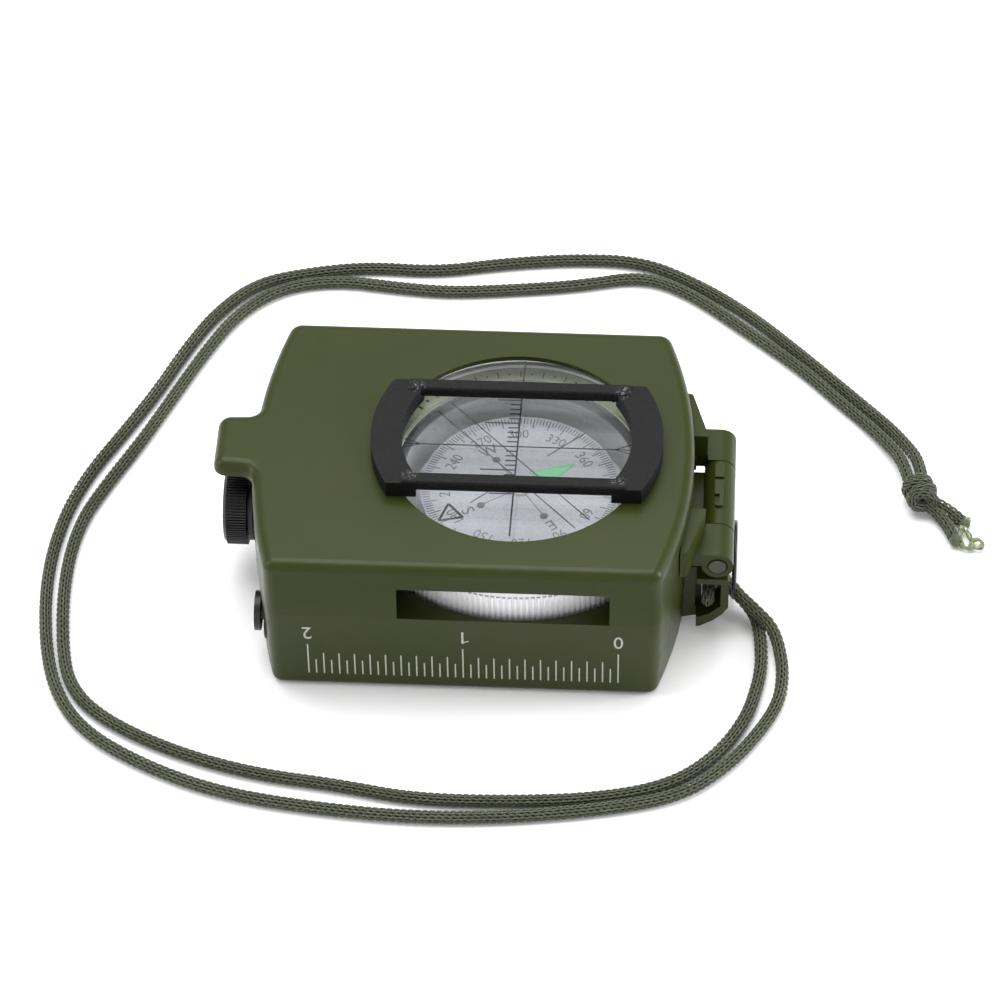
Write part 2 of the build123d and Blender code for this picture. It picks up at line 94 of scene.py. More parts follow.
class Print:
    """Ink drawn as thin closed prisms. Plan coordinates go through place() to the row frame."""

    def __init__(self, place, thickness=0.03):
        self.place = place
        self.thickness = thickness
        self.verts = []
        self.faces = []

    def polygon(self, points):
        """points run anticlockwise."""
        n = len(points)
        first = len(self.verts)
        for lift in (0.0, self.thickness):
            self.verts += [self.place(u, v, lift) for u, v in points]
        low = list(range(first, first + n))
        high = [i + n for i in low]
        self.faces.append(low[::-1])
        self.faces.append(high)
        for i in range(n):
            j = (i + 1) % n
            self.faces.append([low[i], low[j], high[j], high[i]])

    def line(self, start, end, width):
        du, dv = end[0] - start[0], end[1] - start[1]
        length = math.hypot(du, dv)
        ou, ov = -dv / length * width / 2, du / length * width / 2
        self.polygon([(start[0] - ou, start[1] - ov), (end[0] - ou, end[1] - ov),
                      (end[0] + ou, end[1] + ov), (start[0] + ou, start[1] + ov)])

    def dot(self, centre, radius, sides=20):
        angles = [2 * math.pi * i / sides for i in range(sides)]
        self.polygon([(centre[0] + radius * math.cos(a), centre[1] + radius * math.sin(a))
                      for a in angles])

    def text(self, string, centre, height, up_deg, squeeze=1.0):
        """Digits or letters whose tops point along up_deg."""
        curve = bpy.data.curves.new("glyphs", "FONT")
        curve.body = string
        curve.size = height / CAP_SHARE
        curve.align_x = "CENTER"
        curve.align_y = "CENTER"
        curve.resolution_u = 3
        curve.extrude = self.thickness / 2
        glyphs = bpy.data.objects.new("glyphs", curve)
        mesh = bpy.data.meshes.new_from_object(glyphs)
        turn = math.radians(up_deg - 90)
        first = len(self.verts)
        for vertex in mesh.vertices:
            u, v, lift = vertex.co
            u *= squeeze
            self.verts.append(self.place(
                centre[0] + u * math.cos(turn) - v * math.sin(turn),
                centre[1] + u * math.sin(turn) + v * math.cos(turn),
                lift + self.thickness / 2))
        self.faces += [[first + i for i in face.vertices] for face in mesh.polygons]
        bpy.data.objects.remove(glyphs)
        bpy.data.meshes.remove(mesh)
        bpy.data.curves.remove(curve)

    def piece(self, name, body, slot, material):
        return mesh_object(name, self.verts, self.faces, body, material)


# the height of a capital or figure in the plain font, as a share of the font's size
CAP_SHARE = 0.70


def polar(radius, degrees):
    return radius * math.cos(math.radians(degrees)), radius * math.sin(math.radians(degrees))


# ------------------------------------------------------------------ material helpers
class Shader:
    """A node tree with one Principled shader and short ways to feed it."""

    def __init__(self, name):
        self.material = bpy.data.materials.new(name)
        self.material.use_nodes = True
        self.tree = self.material.node_tree
        self.main = self.tree.nodes["Principled BSDF"]
        self.out = self.tree.nodes["Material Output"]
        self.coords = self.tree.nodes.new("ShaderNodeTexCoord").outputs["Object"]

    def node(self, kind, inputs=None, **settings):
        made = self.tree.nodes.new("ShaderNode" + kind)
        for key, value in settings.items():
            setattr(made, key, value)
        for key, value in (inputs or {}).items():
            if isinstance(value, bpy.types.NodeSocket):
                self.tree.links.new(value, made.inputs[key])
            else:
                made.inputs[key].default_value = value
        return made

    def link(self, source, socket):
        self.tree.links.new(source, self.main.inputs[socket])

    def set(self, **sockets):
        for key, value in sockets.items():
            self.main.inputs[key.replace("_", " ")].default_value = value

    def noise(self, scale, detail=3.0, rough=0.55, vector=None, stretch=None):
        vector = vector or self.coords
        if stretch:
            vector = self.node("VectorMath", {0: vector, 1: stretch}, operation="MULTIPLY").outputs[0]
        return self.node("TexNoise", {"Vector": vector, "Scale": scale, "Detail": detail,
                                      "Roughness": rough}).outputs["Fac"]

    def remap(self, value, low, high, to_low, to_high):
        return self.node("MapRange", {"Value": value, "From Min": low, "From Max": high,
                                      "To Min": to_low, "To Max": to_high}).outputs["Result"]

    def math(self, operation, first, second):
        return self.node("Math", {0: first, 1: second}, operation=operation).outputs[0]

    def ramp(self, value, stops):
        made = self.node("ValToRGB", {"Fac": value})
        elements = made.color_ramp.elements
        while len(elements) < len(stops):
            elements.new(0.5)
        for element, (place, colour) in zip(elements, stops):
            element.position = place
            element.color = (*colour, 1.0)
        return made.outputs["Color"]

    def mix(self, factor, first, second):
        made = self.tree.nodes.new("ShaderNodeMix")
        made.data_type = "RGBA"
        sockets = {0: factor, 6: first, 7: second}
        for key, value in sockets.items():
            if isinstance(value, bpy.types.NodeSocket):
                self.tree.links.new(value, made.inputs[key])
            elif key:
                made.inputs[key].default_value = (*value, 1.0)
            else:
                made.inputs[key].default_value = value
        return made.outputs[2]

    def bump(self, height, strength, distance_m, under=None):
        inputs = {"Height": height, "Strength": strength, "Distance": distance_m}
        if under is not None:
            inputs["Normal"] = under
        return self.node("Bump", inputs).outputs["Normal"]

    def from_axis(self, centre, axis="Z"):
        """Distance in metres from an axis through centre, and the turn round it in radians."""
        moved = self.node("VectorMath", {0: self.coords, 1: [c * MM for c in centre]},
                          operation="SUBTRACT").outputs[0]
        parts = self.node("SeparateXYZ", {0: moved}).outputs
        a, b = {"Z": (0, 1), "X": (1, 2), "Y": (0, 2)}[axis]
        flat = self.node("CombineXYZ", {0: parts[a], 1: parts[b]}).outputs[0]
        radius = self.node("VectorMath", {0: flat}, operation="LENGTH").outputs["Value"]
        return radius, self.math("ARCTAN2", parts[b], parts[a])


def srgb(r, g, b):
    """Linear colour from a screen colour of 0 to 255, under this scene's exposure."""
    return tuple(0.70 * ((c / 255 + 0.055) / 1.055) ** 2.4 for c in (r, g, b))


# ------------------------------------------------------------------ cord
CORD_POINTS_A = [
    (38.9, -12.0, 9.4), (38.9, -9.9, 9.4), (39.6, -7.9, 8.6), (41.1, -7.1, 7.2), (42.7, -7.9, 5.8),
    (44.2, -9.2, 4.7), (45.9, -10.6, 4.1), (47.5, -12.0, 3.5), (49.2, -13.4, 2.7), (50.4, -15.4, 1.8),
    (51.2, -18.6, 1.2), (51.7, -23.0, 1.05), (51.1, -29.2, 1.05), (48.0, -35.8, 1.05),
    (43.1, -43.1, 1.05), (35.7, -49.9, 1.05), (24.5, -53.1, 1.05), (9.3, -55.6, 1.05),
    (-6.7, -56.5, 1.05), (-22.8, -55.3, 1.05), (-38.9, -52.7, 1.05), (-51.7, -47.5, 1.05),
    (-62.2, -40.7, 1.05), (-67.8, -32.4, 1.05), (-70.8, -21.4, 1.05), (-72.3, -7.0, 1.05),
    (-71.3, 6.0, 1.05), (-68.1, 17.3, 1.05), (-62.5, 28.8, 1.05), (-58.0, 38.6, 1.05),
    (-54.5, 48.0, 1.05), (-49.9, 58.1, 1.05), (-43.2, 66.3, 1.05), (-33.6, 69.5, 1.05),
    (-23.2, 71.4, 1.05), (-11.1, 70.7, 1.05), (1.0, 73.4, 1.05), (13.4, 75.0, 1.05),
    (25.1, 74.9, 1.05), (34.3, 70.2, 1.05), (44.4, 62.5, 1.05), (54.8, 51.4, 1.05),
    (64.3, 40.7, 1.05), (69.4, 34.9, 1.1), (72.3, 29.9, 1.9), (74.5, 25.0, 2.8), (75.0, 19.2, 3.1)]
CORD_POINTS_B = [
    (38.9, -12.0, 7.25), (38.9, -9.9, 7.25), (39.6, -7.8, 6.4), (41.0, -6.5, 5.0), (42.7, -6.6, 3.7),
    (44.2, -7.4, 2.7), (45.6, -8.7, 2.0), (46.8, -10.4, 1.4), (47.5, -12.7, 1.1), (47.9, -16.0, 1.05),
    (48.1, -20.6, 1.05), (47.6, -25.4, 1.05), (45.7, -33.3, 1.05), (40.6, -42.0, 1.05),
    (33.1, -48.2, 1.05), (21.5, -51.3, 1.05), (7.3, -52.5, 1.05), (-7.7, -52.6, 1.05),
    (-19.8, -50.2, 1.05), (-33.8, -48.4, 1.05), (-47.1, -44.3, 1.05), (-58.8, -38.2, 1.05),
    (-65.3, -31.6, 1.05), (-67.8, -22.7, 1.05), (-69.3, -7.0, 1.05), (-68.2, 6.1, 1.05),
    (-64.3, 16.0, 1.05), (-59.4, 26.5, 1.05), (-55.4, 36.6, 1.05), (-51.1, 47.5, 1.05),
    (-46.0, 58.3, 1.05), (-38.7, 65.4, 1.05), (-28.7, 67.8, 1.05), (-18.6, 66.4, 1.05),
    (-8.7, 65.5, 1.05), (3.3, 66.7, 1.05), (14.4, 68.2, 1.05), (25.5, 71.2, 1.05),
    (33.9, 67.3, 1.05), (42.7, 59.4, 1.05), (54.3, 48.6, 1.05), (60.4, 41.3, 1.05),
    (65.4, 35.8, 1.05), (69.3, 30.4, 1.4), (71.8, 25.4, 2.3), (72.9, 19.0, 3.0)]
FOLD_POINTS = [
    (38.9, -12.0, 9.4), (38.9, -12.7, 9.4), (38.9, -13.25, 8.9), (38.9, -13.35, 8.3),
    (38.9, -13.25, 7.75), (38.9, -12.7, 7.25), (38.9, -12.0, 7.25)]
# the knot's middle, how many degrees it is turned on the floor, and how tightly it is drawn along itself
KNOT_AT = (74.5, 17.6, 3.0)
KNOT_TURN = 17.0
KNOT_PACK = 0.86
TAIL_POINTS = [
    [(76.0, 16.4, 2.7), (78.5, 15.7, 1.7), (80.6, 14.2, 1.15), (81.8, 12.7, 1.15)],
    [(75.1, 16.0, 2.4), (77.2, 14.8, 1.5), (79.1, 12.1, 1.15), (80.2, 9.1, 1.15)]]


def resample(values, along, wanted):
    """Rows of values, known at the distances along, read off at the wanted distances."""
    return np.stack([np.interp(wanted, along, values[:, k]) for k in range(3)], axis=1)


def smooth_line(points, step):
    """Points step mm apart along the NURBS spline whose control points are given."""
    curve = bpy.data.curves.new("route", "CURVE")
    curve.dimensions = "3D"
    curve.resolution_u = 24
    spline = curve.splines.new("NURBS")
    spline.points.add(len(points) - 1)
    for made, (x, y, z) in zip(spline.points, points):
        made.co = (x, y, z, 1.0)
    spline.order_u = 3
    spline.use_endpoint_u = True
    route = bpy.data.objects.new("route", curve)
    mesh = bpy.data.meshes.new_from_object(route)
    line = np.array([v.co for v in mesh.vertices], float)
    bpy.data.objects.remove(route)
    bpy.data.meshes.remove(mesh)
    bpy.data.curves.remove(curve)
    along = np.concatenate([[0.0], np.cumsum(np.linalg.norm(np.diff(line, axis=0), axis=1))])
    wanted = np.linspace(0.0, along[-1], max(4, int(round(along[-1] / step)) + 1))
    return resample(line, along, wanted), wanted


def travelling_frame(line):
    """Two unit vectors across the line at each point, carried along it without twist."""
    tangent = np.gradient(line, axis=0)
    tangent /= np.linalg.norm(tangent, axis=1)[:, None]
    across = np.zeros_like(line)
    seed = np.array([0.0, 0.0, 1.0]) if abs(tangent[0][2]) < 0.9 else np.array([1.0, 0.0, 0.0])
    carried = seed
    for i, t in enumerate(tangent):
        carried = carried - t * (carried @ t)
        carried /= np.linalg.norm(carried)
        across[i] = carried
    return across, np.cross(tangent, across)


# the knit: stitches round the cord, the climb of one round, and how far a loop rises and leans
WALES = 6
COURSE = 1.15
LOOP_RISE = 0.78
LOOP_SWAY = 0.19
# the yarn's middle lies KNIT_R from the cord's axis, less or more by KNIT_RELIEF
KNIT_R = 0.84
KNIT_RELIEF = 0.15
# half widths of the flat yarn, and how finely it is drawn
YARN_WIDE = 0.165
YARN_THICK = 0.135
YARN_SIDES = 4
LOOP_STEPS = 10
# the imported inner yarns, coloured near black as painted shade for the gaps between the stitches, and how
# closely the cord's line is followed
CORE_R = 0.56
CORE_SIDES = 8
CORE_EVERY = 3
ROUTE_STEP = 0.25


def tube_faces(rings, sides):
    """Quads of one closed tube, and its two ends, as an array of quads and two polygons."""
    i, j = np.meshgrid(np.arange(rings - 1), np.arange(sides), indexing="ij")
    a = (i * sides + j).ravel()
    b = (i * sides + (j + 1) % sides).ravel()
    quads = np.stack([a, b, b + sides, a + sides], axis=1).tolist()
    return quads + [list(range(sides))[::-1], list(range((rings - 1) * sides, rings * sides))]


def round_tube(line, radius, sides):
    """Verts and faces of a closed round tube along a line."""
    n, b = travelling_frame(line)
    section = np.linspace(0, 2 * math.pi, sides, endpoint=False)
    ring = line[:, None] + radius * (
        np.cos(section)[None, :, None] * n[:, None] + np.sin(section)[None, :, None] * b[:, None])
    return ring.reshape(-1, 3), tube_faces(len(line), sides)


def knit(line, along):
    """Verts and faces of a hollow knitted cord along a line: one yarn whose loops climb round it."""
    n, b = travelling_frame(line)
    loops = max(WALES, int(along[-1] / COURSE * WALES))
    t = np.linspace(0.0, 2 * math.pi * loops, loops * LOOP_STEPS + 1)
    turn = 2 * math.pi / WALES * (t / (2 * math.pi) + LOOP_SWAY * np.sin(2 * t))
    height = np.clip(COURSE * t / (2 * math.pi) / WALES - LOOP_RISE * np.cos(t), 0.0, along[-1])
    radius = KNIT_R - KNIT_RELIEF * np.cos(2 * t)
    axis, n_here, b_here = (resample(v, along, height) for v in (line, n, b))
    radial = np.cos(turn)[:, None] * n_here + np.sin(turn)[:, None] * b_here
    centre = axis + radius[:, None] * radial
    run = np.gradient(centre, axis=0)
    side = np.cross(run, radial)
    side /= np.maximum(np.linalg.norm(side, axis=1), 1e-9)[:, None]
    section = np.linspace(0, 2 * math.pi, YARN_SIDES, endpoint=False)
    ring = centre[:, None] + (
        YARN_WIDE * np.cos(section)[None, :, None] * side[:, None]
        + YARN_THICK * np.sin(section)[None, :, None] * radial[:, None])
    return ring.reshape(-1, 3), tube_faces(len(centre), YARN_SIDES)


def joined(name, parts, material):
    """Several (verts, faces) parts as one piece of the cord."""
    verts, faces = [], []
    for more, more_faces in parts:
        first = sum(len(v) for v in verts)
        verts.append(more)
        faces += [[first + i for i in face] for face in more_faces]
    return mesh_object(name, np.concatenate(verts), faces, "base", material, smooth=True)


def knit_piece(name, routes):
    """Knitted cord along each route as one mesh, its core, near black as painted shade between the stitches,
    as another, and the last route's line.
    """
    sleeves, cores = [], []
    for points in routes:
        line, along = smooth_line(points, ROUTE_STEP)
        sleeves.append(knit(line, along))
        cores.append(round_tube(line[::CORE_EVERY], CORE_R, CORE_SIDES))
    sleeve = joined(name, sleeves, cord_paint)
    inner = joined(name + "_core", cores, core_shade_paint)
    return sleeve, inner, line


def cord_material():
    s = Shader("cord_braid")
    tint = s.noise(2600.0, 3.0, 0.6)
    broad = s.noise(90.0, 2.0)
    colour = s.ramp(tint, [(0.30, srgb(36, 40, 24)), (0.50, srgb(78, 84, 58)),
                           (0.70, srgb(128, 134, 104))])
    shade = s.ramp(broad, [(0.35, srgb(66, 72, 46)), (0.65, srgb(82, 88, 62))])
    s.link(s.mix(0.35, colour, shade), "Base Color")
    s.link(s.remap(tint, 0.3, 0.7, 0.62, 0.42), "Roughness")
    s.link(s.bump(s.noise(9000.0, 2.0, 0.7), 0.5, 0.00004), "Normal")
    s.set(Sheen_Weight=0.25, Sheen_Roughness=0.4)
    return s.material


def core_material():
    # painted shade: the core's near-black colour stands for the shade in the gaps between the knitted yarns
    s = Shader("cord_core")
    tint = s.noise(3000.0, 2.0)
    s.link(s.ramp(tint, [(0.35, srgb(9, 10, 6)), (0.65, srgb(26, 29, 17))]), "Base Color")
    s.link(s.remap(tint, 0.3, 0.7, 0.75, 0.6), "Roughness")
    s.link(s.bump(tint, 0.4, 0.00004), "Normal")
    return s.material


cord_paint = cord_material()
core_shade_paint = core_material()
strand_a, core_a, line_a = knit_piece("cord_strand_a", [CORD_POINTS_A])
strand_b, core_b, line_b = knit_piece("cord_strand_b", [CORD_POINTS_B])
fold, fold_core = knit_piece("cord_fold", [FOLD_POINTS])[:2]
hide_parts("lanyard_strand_a")
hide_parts("lanyard_strand_b")
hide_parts("lanyard_fold")


def knot_place(u, v, w):
    """From the knot's own axes, v along it, to the row frame."""
    turn = math.radians(KNOT_TURN)
    v *= KNOT_PACK
    return (KNOT_AT[0] + u * math.cos(turn) - v * math.sin(turn),
            KNOT_AT[1] + u * math.sin(turn) + v * math.cos(turn),
            KNOT_AT[2] + w)


KNOT_WRAPS = [
    [(-1.1, 2.7, 0.2), (-1.7, 1.6, 0.9), (-0.9, 0.9, 1.9), (0.9, 0.4, 1.9), (1.95, 0.0, 0.6),
     (1.8, -0.3, -1.1), (0.3, -0.4, -1.9), (-1.3, -0.5, -1.5), (-1.95, -0.9, 0.1), (-1.0, -1.5, 1.6),
     (0.8, -2.0, 1.5), (1.6, -2.5, 0.2), (1.2, -2.9, -0.6)],
    [(1.3, 2.8, 0.0), (1.9, 2.0, 0.3), (1.2, 1.3, 1.7), (-0.5, 2.1, 1.9), (-1.9, 2.0, 0.4),
     (-1.7, 1.5, -1.2), (-0.1, 1.2, -1.9), (1.5, 1.0, -1.3), (1.9, -1.0, 0.9), (0.6, -0.9, 2.0),
     (-1.2, -0.9, 1.6), (-1.9, -1.8, -0.1), (-1.2, -2.4, -1.1), (0.4, -2.6, -0.9)]]
knot, knot_core = knit_piece("cord_knot", [[knot_place(*p) for p in wrap] for wrap in KNOT_WRAPS])[:2]
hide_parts("lanyard_knot")
tails, tails_core = knit_piece("cord_tails", TAIL_POINTS)[:2]
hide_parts("lanyard_tails")


def ball(centre, radii, turns=14, rows=9):
    """Verts and faces of a slightly lumpy egg."""
    verts = []
    for i in range(rows + 1):
        tilt = math.pi * i / rows
        for j in range(turns):
            a = 2 * math.pi * j / turns
            lump = 1.0 + 0.07 * math.sin(3 * a + 2 * tilt) * math.sin(2 * tilt)
            way = (math.sin(tilt) * math.cos(a), math.sin(tilt) * math.sin(a), math.cos(tilt))
            verts.append([c + r * lump * w for c, r, w in zip(centre, radii, way)])
    return np.array(verts), tube_faces(rows + 1, turns)


def melted_loop(points, thick):
    """Verts and faces of one drawn-out thread of melted nylon along a few points."""
    step, sides, swell, waves = 0.2, 10, 0.22, 2.6
    line, along = smooth_line(points, step)
    radius = thick * (1.0 + swell * np.sin(along * waves))[:, None, None]
    return round_tube(line, radius, sides)


def melted_ends():
    """The ends of both tails, melted into clear green beads and drawn threads."""
    s = Shader("melted_nylon")
    tint = s.noise(1400.0, 2.0)
    s.link(s.ramp(tint, [(0.3, srgb(112, 128, 72)), (0.7, srgb(190, 202, 152))]), "Base Color")
    s.link(s.remap(s.noise(700.0, 2.0), 0.3, 0.7, 0.14, 0.30), "Roughness")
    s.link(s.bump(s.noise(2200.0, 2.0), 0.25, 0.00008), "Normal")
    s.set(Transmission_Weight=0.45, IOR=1.5)
    parts = [ball((82.4, 13.3, 1.1), (0.95, 0.75, 0.75)), ball((81.6, 11.4, 1.0), (0.8, 0.9, 0.7)),
             melted_loop([(81.4, 11.0, 1.0), (80.9, 9.4, 1.0), (81.6, 7.4, 0.8), (82.7, 6.9, 0.8),
                          (83.3, 8.0, 0.8), (82.9, 9.8, 0.9), (82.2, 11.2, 1.0)], 0.42),
             melted_loop([(83.1, 8.6, 0.8), (83.9, 9.3, 0.9), (84.9, 8.8, 0.9), (85.0, 7.6, 0.8),
                          (84.1, 7.0, 0.7), (83.3, 7.6, 0.8)], 0.38)]
    beads = [ball((80.5, 8.5, 1.15), (1.15, 1.05, 1.1)), ball((82.0, 12.4, 1.15), (1.0, 1.0, 1.1))]
    joined("cord_beads", beads, cord_paint)
    joined("cord_melted_ends", parts, s.material)


melted_ends()


# ------------------------------------------------------------------ floor and light
def make_stage():
    """A white floor a hair under the object."""
    mesh = bpy.data.meshes.new("floor")
    half = 3.0
    mesh.from_pydata([(-half, -half, 0), (half, -half, 0), (half, half, 0), (-half, half, 0)], [],
                     [(0, 1, 2, 3)])
    s = Shader("floor_white")
    s.set(Base_Color=(0.97, 0.97, 0.975, 1.0), Roughness=0.7)
    mesh.materials.append(s.material)
    floor = bpy.data.objects.new("floor", mesh)
    floor.location.z = -0.0001
    scene.collection.objects.link(floor)


def area_light(name, place, aim, size, power, colour=(1.0, 1.0, 1.0)):
    data = bpy.data.lights.new(name, "AREA")
    data.shape = "RECTANGLE"
    data.size, data.size_y = size
    data.energy = power
    data.color = colour
    light = bpy.data.objects.new(name, data)
    light.location = place
    light.rotation_mode = "QUATERNION"
    light.rotation_quaternion = (Vector(aim) - Vector(place)).to_track_quat("-Z", "Y")
    scene.collection.objects.link(light)


def make_light():
    world = bpy.data.worlds.new("studio")
    world.use_nodes = True
    background = world.node_tree.nodes["Background"]
    background.inputs["Color"].default_value = (1.0, 1.0, 1.0, 1.0)
    background.inputs["Strength"].default_value = 0.54
    scene.world = world
    scene.view_settings.view_transform = "Standard"
    scene.view_settings.exposure = 0.45
    area_light("top_box", (-0.10, 0.25, 0.90), (0.0, 0.0, 0.0), (0.9, 0.7), 7.0)
    area_light("front_strip", (0.05, -0.95, 0.30), (0.0, 0.0, 0.01), (0.9, 0.20), 0.5)
    area_light("right_box", (0.95, 0.10, 0.35), (0.0, 0.0, 0.01), (0.25, 0.6), 4.6)
    area_light("left_box", (-0.95, -0.10, 0.45), (0.0, 0.0, 0.01), (0.25, 0.6), 2.0)


make_stage()
make_light()


# ------------------------------------------------------------------ CAD finishes
DIAL = [(a + b) / 2 / MM for a, b in zip(*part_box("bezel_ring"))]
WINDOW = [(a + b) / 2 / MM for a, b in zip(*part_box("lid_window"))]
CARD = [(a + b) / 2 / MM for a, b in zip(*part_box("compass_card"))]


def case_paint():
    """Satin olive enamel on die-cast metal: faint orange peel, broad tone shifts, fine specks."""
    s = Shader("case_paint")
    broad = s.noise(38.0, 2.0, 0.5)
    fine = s.noise(5200.0, 2.0, 0.6)
    base = s.ramp(broad, [(0.3, srgb(50, 58, 12)), (0.7, srgb(56, 63, 18))])
    speck = s.ramp(fine, [(0.25, srgb(42, 49, 8)), (0.5, srgb(52, 59, 14)), (0.8, srgb(62, 69, 24))])
    s.link(s.mix(0.28, base, speck), "Base Color")
    s.link(s.remap(s.noise(420.0, 3.0), 0.3, 0.7, 0.30, 0.40), "Roughness")
    peel = s.bump(s.noise(1150.0, 2.0, 0.5), 0.10, 0.00010)
    s.link(s.bump(fine, 0.06, 0.00003, peel), "Normal")
    s.set(Coat_Weight=0.04, Coat_Roughness=0.22, Specular_IOR_Level=0.19)
    return s.material


def black_crinkle():
    """Black powder coat with a fine wrinkle; at the inner corners of the sight frame, worn paint with
    painted glints as light grey flecks.
    """
    s = Shader("black_crinkle")
    grain = s.noise(3900.0, 3.0, 0.65)
    cells = s.node("TexVoronoi", {"Vector": s.coords, "Scale": 3000.0}).outputs["Distance"]
    colour = s.ramp(grain, [(0.30, srgb(3, 3, 4)), (0.55, srgb(9, 8, 11)), (0.80, srgb(26, 25, 30))])
    corner_x, corner_y, below_top_m = 17.0, 10.2, 0.0003
    worn_glint_full_m, worn_glint_fade_m = 0.0004, 0.0016
    top_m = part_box("sight_frame")[1].z
    worn_glint_mask = None
    for x in (WINDOW[0] - corner_x, WINDOW[0] + corner_x):
        for y in (-corner_y, corner_y):
            away = s.node("VectorMath", {0: s.coords, 1: (x * MM, y * MM, top_m - below_top_m)},
                          operation="DISTANCE").outputs["Value"]
            near = s.remap(away, worn_glint_full_m, worn_glint_fade_m, 1.0, 0.0)
            worn_glint_mask = near if worn_glint_mask is None else s.math("MAXIMUM", worn_glint_mask, near)
    flecks = s.remap(s.noise(2600.0, 4.0, 0.7), 0.52, 0.60, 0.0, 1.0)
    worn_glint_flecks = s.math("MULTIPLY", worn_glint_mask, flecks)
    # painted highlight: light grey flecks in the base colour at the inner corners stand for glints on the
    # worn paint
    s.link(s.mix(worn_glint_flecks, colour, srgb(150, 150, 155)), "Base Color")
    s.link(s.remap(grain, 0.3, 0.7, 0.66, 0.42), "Roughness")
    s.set(Specular_IOR_Level=0.22)
    first = s.bump(grain, 0.75, 0.00012)
    s.link(s.bump(cells, 0.45, 0.00008, first), "Normal")
    return s.material


def turned_metal(name, centre, axis, light, dark, rough, metallic=1.0, streak=9000.0):
    """Metal with the fine grooves of the lathe round its axis."""
    s = Shader(name)
    radius, turn = s.from_axis(centre, axis)
    groove = s.node("TexNoise", {"W": s.math("MULTIPLY", radius, streak), "Scale": 1.0, "Detail": 3.0},
                    noise_dimensions="1D").outputs["Fac"]
    blotch = s.noise(260.0, 3.0)
    s.link(s.mix(s.remap(groove, 0.3, 0.7, 0.0, 1.0), dark, light), "Base Color")
    s.link(s.remap(blotch, 0.3, 0.7, rough - 0.05, rough + 0.07), "Roughness")
    s.link(s.bump(groove, 0.12, 0.00002), "Normal")
    s.set(Metallic=metallic)
    return s.material


def speckled(name, colours, scale, rough, bump=0.1, bump_m=0.00003, **sockets):
    """A moulded or printed surface: fine grain in colour, roughness and height."""
    s = Shader(name)
    grain = s.noise(scale, 3.0, 0.6)
    places = np.linspace(0.3, 0.72, len(colours))
    s.link(s.ramp(grain, list(zip(places, colours))), "Base Color")
    s.link(s.remap(s.noise(scale * 0.2, 2.0), 0.3, 0.7, rough - 0.05, rough + 0.06), "Roughness")
    s.link(s.bump(grain, bump, bump_m), "Normal")
    s.set(**sockets)
    return s.material


def clear_glass(name, tint, rough=0.0, ior=1.49):
    """Clear moulding that lets lamps through to what is under it."""
    s = Shader(name)
    s.set(Base_Color=(*tint, 1.0), Transmission_Weight=1.0, IOR=ior, Roughness=rough)
    scratch = s.noise(700.0, 4.0, 0.7, stretch=(1.0, 9.0, 1.0))
    s.link(s.remap(scratch, 0.62, 0.80, rough, rough + 0.04), "Roughness")
    path = s.node("LightPath").outputs["Is Shadow Ray"]
    clear = s.node("BsdfTransparent", {"Color": (*tint, 1.0)}).outputs[0]
    mixed = s.node("MixShader", {0: path, 1: s.main.outputs[0], 2: clear}).outputs[0]
    s.tree.links.new(mixed, s.out.inputs["Surface"])
    return s.material


finishes = {
    "case_paint": case_paint(),
    "black_crinkle": black_crinkle(),
    "bezel_metal": turned_metal("bezel_metal", DIAL, "Z", (0.86, 0.86, 0.88), (0.74, 0.74, 0.77), 0.36,
                                metallic=0.25),
    "luminous_ring": speckled("luminous_ring",
                              [srgb(140, 146, 122), srgb(164, 170, 144), srgb(180, 185, 160)],
                              4200.0, 0.55),
    "white_cup": speckled("white_cup", [srgb(196, 196, 200), srgb(214, 214, 218)], 1500.0, 0.32),
    "white_nylon": speckled("white_nylon", [srgb(214, 212, 205), srgb(230, 229, 222)], 2200.0, 0.45),
    "card": speckled("card", [srgb(142, 143, 154), srgb(156, 157, 168), srgb(166, 167, 177)], 3000.0, 0.42,
                     Metallic=0.15),
    "clear_glass": clear_glass("clear_glass", (0.985, 0.99, 0.985)),
    "black_plastic": speckled("black_plastic", [srgb(6, 6, 7), srgb(11, 11, 12), srgb(20, 20, 22)],
                              3300.0, 0.40, 0.2),
    "rubber": speckled("rubber", [srgb(150, 150, 154), srgb(166, 166, 170)], 2600.0, 0.70, 0.25),
    "steel": speckled("steel", [(0.50, 0.50, 0.52), (0.62, 0.62, 0.64)], 2400.0, 0.26, Metallic=1.0),
    "steel_olive": speckled("steel_olive", [srgb(50, 55, 26), srgb(60, 65, 34)], 2600.0, 0.36,
                            Coat_Weight=0.1),
    "brass": speckled("brass", [(0.56, 0.42, 0.18), (0.70, 0.54, 0.25)], 2400.0, 0.30, Metallic=1.0),
    "black_wire": speckled("black_wire", [srgb(14, 14, 15), srgb(28, 28, 30)], 2800.0, 0.34, 0.15),
    "cord": cord_paint,
}
for node in nodes.values():
    for place in node.material_slots:
        place.material = finishes[place.material.name.split(".")[0]]


# ------------------------------------------------------------------ printed marks
INK_BLACK = speckled("ink_black", [srgb(4, 4, 6), srgb(12, 12, 14)], 6000.0, 0.45, 0.05, 0.00001)
INK_GREY = speckled("ink_grey", [srgb(52, 52, 62), srgb(72, 72, 82)], 6000.0, 0.50, 0.05, 0.00001)
INK_WHITE = speckled("ink_white", [srgb(168, 170, 156), srgb(205, 207, 196), srgb(222, 223, 214)],
                     5200.0, 0.50, 0.05, 0.00001)
INK_GREEN = speckled("ink_green", [srgb(84, 176, 118), srgb(100, 194, 134)], 5000.0, 0.50, 0.05, 0.00001)


def on_disc(centre, z):
    """A place() for marks on a level surface about a vertical axis."""
    return lambda u, v, lift: (centre[0] + u, centre[1] + v, z + lift)


def top_of(node):
    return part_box(node)[1].z / MM


